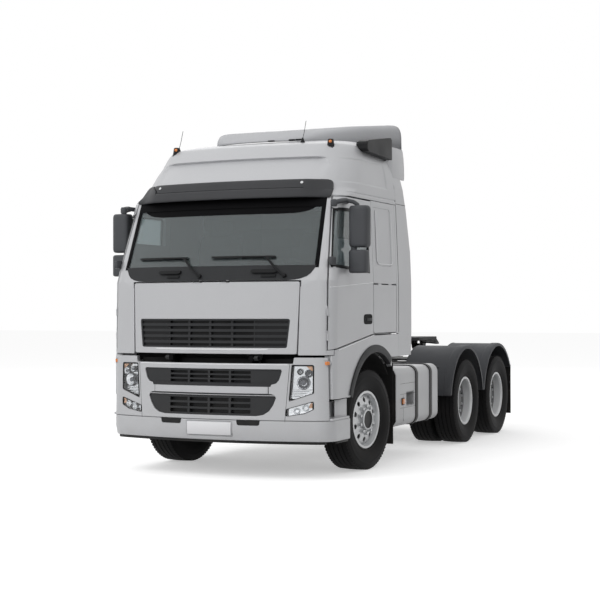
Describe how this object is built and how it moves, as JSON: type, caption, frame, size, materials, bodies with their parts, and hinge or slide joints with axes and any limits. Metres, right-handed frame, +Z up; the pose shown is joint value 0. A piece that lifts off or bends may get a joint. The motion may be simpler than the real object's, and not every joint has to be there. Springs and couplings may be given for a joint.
{
  "type": "three-axle tractor truck",
  "caption": "Forward-control tractor truck with a high-roof sleeper cab that tilts, steered front wheels, twin-tyred drive axles and a rocking fifth wheel.",
  "frame": {"origin": "on the ground under the middle of the truck's box", "axes": "+X forward, +Y to the truck's left, +Z up"},
  "size_m": [6.5482, 2.934, 3.722],
  "materials": {
    "paint": "metallic gloss",
    "black_paint": "satin",
    "dark_plastic": "grained",
    "grille_plastic": "gloss",
    "glass": "tinted clear",
    "lamp": "clear lens over bright reflector",
    "red_lamp": "gloss",
    "tyre": "matt rubber",
    "rim": "bright",
    "steel": "painted casting",
    "trim_inside": "grained",
    "seat_cloth": "woven",
    "rubber": "matt"
  },
  "bodies": {
    "chassis": {"frame_rails": "black_paint", "frame_crossmembers": "black_paint", "engine": "steel", "front_axle": "steel", "leaf_springs": "steel", "rear_axles": "steel", "propshafts": "black_paint", "fuel_tank": "paint", "tank_straps": "black_paint", "silencer": "steel", "rear_mudguards": "dark_plastic", "mud_flaps": "rubber", "bumper_panels": "paint", "chassis_brackets": "black_paint", "lower_grilles": "grille_plastic", "front_lamps": "lamp", "entry_steps": "paint", "fifth_wheel_base": "black_paint", "rear_lamps": "red_lamp", "catwalk": "black_paint"},
    "cab": {"cab_floor": "trim_inside", "cab_sides": "paint", "cab_back": "paint", "cab_roof": "paint", "cab_front": "paint", "cab_fenders": "paint", "windscreen": "glass", "sun_visor": "dark_plastic", "side_fairings": "paint", "roof_deflector": "paint", "air_intake": "dark_plastic", "dashboard": "trim_inside", "steering_wheel": "trim_inside", "seats": "seat_cloth"},
    "front_lid": {"front_lid": "paint", "upper_grille": "grille_plastic"},
    "tie_rod": {"tie_rod": "steel"},
    "fifth_wheel": {"fifth_wheel": "steel"},
    "knuckle_left": {"knuckle_left": "steel"},
    "wheel_front_left": {"tyre_front_left": "tyre", "rim_front_left": "rim"},
    "door_left": {"door_left": "paint", "door_glass_left": "glass", "mirror_left": "dark_plastic"},
    "locker_lid_left": {"locker_lid_left": "paint"},
    "wheels_rear1_left": {"tyres_rear1_left": "tyre", "rims_rear1_left": "rim"},
    "wheels_rear2_left": {"tyres_rear2_left": "tyre", "rims_rear2_left": "rim"},
    "knuckle_right": {"knuckle_right": "steel"},
    "wheel_front_right": {"tyre_front_right": "tyre", "rim_front_right": "rim"},
    "door_right": {"door_right": "paint", "door_glass_right": "glass", "mirror_right": "dark_plastic"},
    "locker_lid_right": {"locker_lid_right": "paint"},
    "wheels_rear1_right": {"tyres_rear1_right": "tyre", "rims_rear1_right": "rim"},
    "wheels_rear2_right": {"tyres_rear2_right": "tyre", "rims_rear2_right": "rim"}
  },
  "joints": [
    {"name": "steer_left", "type": "hinge", "parent": "chassis", "child": "knuckle_left", "pos_m": [1.925, 0.89, 0.522], "axis": [0, 0, 1], "range_deg": [-39, 51]},
    {"name": "wheel_front_left_spin", "type": "hinge", "parent": "knuckle_left", "child": "wheel_front_left", "pos_m": [1.94068, 1.03918, 0.522], "axis": [0.1045, 0.9945, 0], "continuous": true},
    {"name": "wheels_rear1_left_spin", "type": "hinge", "parent": "chassis", "child": "wheels_rear1_left", "pos_m": [-1.275, 0.9175, 0.522], "axis": [0, 1, 0], "continuous": true},
    {"name": "wheels_rear2_left_spin", "type": "hinge", "parent": "chassis", "child": "wheels_rear2_left", "pos_m": [-2.645, 0.9175, 0.522], "axis": [0, 1, 0], "continuous": true},
    {"name": "door_left_swing", "type": "hinge", "parent": "cab", "child": "door_left", "pos_m": [3.047, 1.185, 1.64], "axis": [0, 0, -1], "range_deg": [0, 70]},
    {"name": "locker_lid_left_lift", "type": "hinge", "parent": "cab", "child": "locker_lid_left", "pos_m": [1.625, 1.241, 1.93], "axis": [1, 0, 0], "range_deg": [0, 80]},
    {"name": "steer_right", "type": "hinge", "parent": "chassis", "child": "knuckle_right", "pos_m": [1.925, -0.89, 0.522], "axis": [0, 0, 1], "range_deg": [-39, 51]},
    {"name": "wheel_front_right_spin", "type": "hinge", "parent": "knuckle_right", "child": "wheel_front_right", "pos_m": [1.90932, -1.03918, 0.522], "axis": [0.1045, 0.9945, 0], "continuous": true},
    {"name": "wheels_rear1_right_spin", "type": "hinge", "parent": "chassis", "child": "wheels_rear1_right", "pos_m": [-1.275, -0.9175, 0.522], "axis": [0, 1, 0], "continuous": true},
    {"name": "wheels_rear2_right_spin", "type": "hinge", "parent": "chassis", "child": "wheels_rear2_right", "pos_m": [-2.645, -0.9175, 0.522], "axis": [0, 1, 0], "continuous": true},
    {"name": "door_right_swing", "type": "hinge", "parent": "cab", "child": "door_right", "pos_m": [3.047, -1.185, 1.64], "axis": [0, 0, 1], "range_deg": [0, 70]},
    {"name": "locker_lid_right_lift", "type": "hinge", "parent": "cab", "child": "locker_lid_right", "pos_m": [1.625, -1.241, 1.93], "axis": [-1, 0, 0], "range_deg": [0, 80]},
    {"name": "tie_rod_pivot", "type": "hinge", "parent": "knuckle_left", "child": "tie_rod", "pos_m": [1.70621, 0.913, 0.335], "axis": [0, 0, 1], "range_deg": [-51, 39]},
    {"name": "front_lid_lift", "type": "hinge", "parent": "cab", "child": "front_lid", "pos_m": [3.227, 0, 1.944], "axis": [0, -1, 0], "range_deg": [0, 75]},
    {"name": "cab_tilt", "type": "hinge", "parent": "chassis", "child": "cab", "pos_m": [3.195, 0, 1.192], "axis": [0, 1, 0], "range_deg": [0, 60]},
    {"name": "fifth_wheel_rock", "type": "hinge", "parent": "chassis", "child": "fifth_wheel", "pos_m": [-2.005, 0, 1.175], "axis": [0, 1, 0], "range_deg": [-12, 12]}
  ],
  "couplings": [
    {"joint": "steer_right", "follows": "steer_left", "ratio": 1},
    {"joint": "tie_rod_pivot", "follows": "steer_left", "ratio": -1}
  ]
}
